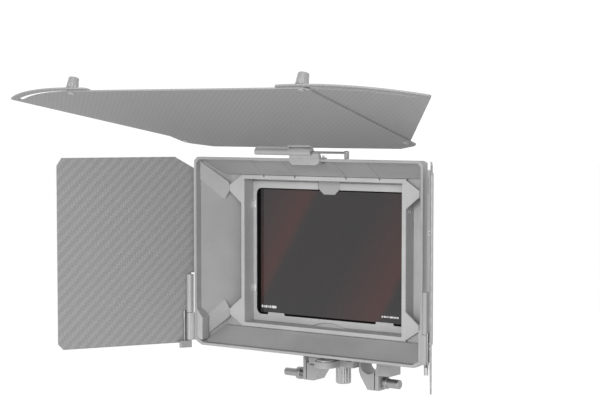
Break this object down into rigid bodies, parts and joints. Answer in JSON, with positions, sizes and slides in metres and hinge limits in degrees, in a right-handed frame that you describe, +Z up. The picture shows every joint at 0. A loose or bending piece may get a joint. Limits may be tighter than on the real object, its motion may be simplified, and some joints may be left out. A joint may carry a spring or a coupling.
{
  "type": "lens hood",
  "caption": "Cine matte box lens hood: sloped shell, filter stage with lift-out tray, tilting top flag with fold-out wings, swinging side flags, rod bracket.",
  "frame": {"origin": "Centre of the lens clamp bore, in the plane of its rear face.", "axes": "+Y backwards along the optical axis, out of the lens clamp; the hood opens towards -Y; +Z up; +X to the right seen from the camera operator."},
  "size_m": [0.363, 0.2225, 0.242],
  "materials": {
    "carbon_sheet": "2x2 carbon twill sheet, satin lacquer",
    "hood_moulding": "fine grained moulding",
    "stage_anodised": "grey-black bead blasted anodising",
    "bracket_anodised": "black bead blasted anodising",
    "black_rubber": "dull cellular rubber",
    "filter_glass": "polished, coated neutral grey glass",
    "latch_plastic": "fine grained moulding",
    "knob_anodised": "fluted, satin anodised",
    "hinge_anodised": "black satin anodised",
    "clamp_plate_aluminium": "bare, bead blasted",
    "pin_steel": "ground steel",
    "bright_steel": "turned, zinc plated"
  },
  "bodies": {
    "hood": {"hood_shell": "hood_moulding", "stage_front": "stage_anodised", "stage_body": "stage_anodised", "stage_screws": "bright_steel", "collar_screws": "bright_steel", "tray_detents": "bright_steel", "light_seal": "black_rubber", "lens_clamp_ring": "bracket_anodised", "lens_clamp_liner": "black_rubber", "lens_clamp_ring_screws": "bright_steel", "lens_clamp_nut": "bright_steel", "bracket_riser": "bracket_anodised", "rod_bridge": "bracket_anodised", "bridge_screws": "bright_steel", "bridge_centre_screw": "bright_steel", "bridge_pad": "clamp_plate_aluminium", "left_rod_clamp": "bracket_anodised", "right_rod_clamp": "bracket_anodised", "top_flag_bracket": "hinge_anodised", "top_flag_clamp_plate": "hinge_anodised", "top_flag_clamp_screw": "bright_steel", "left_flag_bracket": "hinge_anodised", "left_flag_clamp_plate": "clamp_plate_aluminium", "left_flag_clamp_screw": "bright_steel", "right_flag_bracket": "hinge_anodised", "right_flag_clamp_plate": "hinge_anodised", "right_flag_clamp_screw": "bright_steel"},
    "lens_clamp_knob": {"lens_clamp_knob": "knob_anodised"},
    "left_rod_thumbscrew": {"left_rod_thumbscrew": "bracket_anodised"},
    "right_rod_thumbscrew": {"right_rod_thumbscrew": "bracket_anodised"},
    "bridge_knob": {"bridge_knob": "knob_anodised"},
    "top_flag": {"top_flag": "carbon_sheet", "top_flag_leaf": "hinge_anodised", "top_flag_strip": "bright_steel", "top_flag_rivets": "bright_steel", "wing_pivots": "bright_steel", "wing_studs": "bright_steel", "wing_washers": "knob_anodised"},
    "top_flag_release_pin": {"top_flag_release_pin": "pin_steel"},
    "left_wing": {"left_wing": "carbon_sheet"},
    "right_wing": {"right_wing": "carbon_sheet"},
    "left_wing_knob": {"left_wing_knob": "knob_anodised"},
    "right_wing_knob": {"right_wing_knob": "knob_anodised"},
    "left_flag": {"left_flag": "carbon_sheet", "left_flag_leaf": "hinge_anodised", "left_flag_rivets": "bright_steel"},
    "right_flag": {"right_flag": "carbon_sheet", "right_flag_leaf": "hinge_anodised", "right_flag_rivets": "bright_steel"},
    "left_flag_release_pin": {"left_flag_release_pin": "pin_steel"},
    "right_flag_release_pin": {"right_flag_release_pin": "pin_steel"},
    "filter_tray": {"tray_frame": "stage_anodised", "tray_handle": "stage_anodised", "tray_seal": "black_rubber", "filter_pane": "filter_glass", "filter_springs": "bright_steel"},
    "filter_latch": {"filter_latch": "latch_plastic"}
  },
  "joints": [
    {"name": "top_flag_tilt", "type": "hinge", "parent": "hood", "child": "top_flag", "pos_m": [0, -0.0625, 0.08], "axis": [-1, 0, 0], "range_deg": [-15.45, 74.55]},
    {"name": "top_pin_pull", "type": "slide", "parent": "hood", "child": "top_flag_release_pin", "axis": [1, 0, 0], "range_m": [-0.0234, 0]},
    {"name": "left_wing_fold", "type": "hinge", "parent": "top_flag", "child": "left_wing", "pos_m": [-0.1009, -0.07662, 0.08971], "axis": [0, -0.2664, -0.9639], "range_deg": [-31.5, 0]},
    {"name": "right_wing_fold", "type": "hinge", "parent": "top_flag", "child": "right_wing", "pos_m": [0.1009, -0.07662, 0.08971], "axis": [0, 0.2664, 0.9639], "range_deg": [-33.4, 0]},
    {"name": "left_wing_knob_turn", "type": "hinge", "parent": "top_flag", "child": "left_wing_knob", "pos_m": [-0.10043, -0.20401, 0.12845], "axis": [0, 0.2664, 0.9639], "continuous": true},
    {"name": "right_wing_knob_turn", "type": "hinge", "parent": "top_flag", "child": "right_wing_knob", "pos_m": [0.10043, -0.20401, 0.12845], "axis": [0, 0.2664, 0.9639], "continuous": true},
    {"name": "left_flag_swing", "type": "hinge", "parent": "hood", "child": "left_flag", "pos_m": [-0.1093, -0.0625, -0.0495], "axis": [0, 0, -1], "range_deg": [-120.5, 31]},
    {"name": "right_flag_swing", "type": "hinge", "parent": "hood", "child": "right_flag", "pos_m": [0.1093, -0.0625, -0.0495], "axis": [0, 0, 1], "range_deg": [-120.5, 31]},
    {"name": "left_pin_pull", "type": "slide", "parent": "left_flag", "child": "left_flag_release_pin", "axis": [0, 0, -1], "range_m": [0, 0.0247]},
    {"name": "right_pin_pull", "type": "slide", "parent": "right_flag", "child": "right_flag_release_pin", "axis": [0, 0, -1], "range_m": [0, 0.0247]},
    {"name": "tray_lift", "type": "slide", "parent": "hood", "child": "filter_tray", "axis": [0, 0, 1], "range_m": [0, 0.125]},
    {"name": "latch_lift", "type": "slide", "parent": "filter_tray", "child": "filter_latch", "axis": [0, 0, 1], "range_m": [0, 0.005], "stiffness_N_per_m": 200, "springref_m": -0.002},
    {"name": "lens_clamp_knob_turn", "type": "hinge", "parent": "hood", "child": "lens_clamp_knob", "pos_m": [-0.072, -0.007, 0], "axis": [0, 0, 1], "continuous": true},
    {"name": "left_rod_thumbscrew_turn", "type": "hinge", "parent": "hood", "child": "left_rod_thumbscrew", "pos_m": [-0.05, 0.003, -0.1015], "axis": [1, 0, 0], "continuous": true},
    {"name": "right_rod_thumbscrew_turn", "type": "hinge", "parent": "hood", "child": "right_rod_thumbscrew", "pos_m": [0.05, -0.007, -0.0995], "axis": [1, 0, 0], "continuous": true},
    {"name": "bridge_knob_turn", "type": "hinge", "parent": "hood", "child": "bridge_knob", "pos_m": [0, -0.0045, -0.096], "axis": [0, 0, 1], "continuous": true}
  ]
}
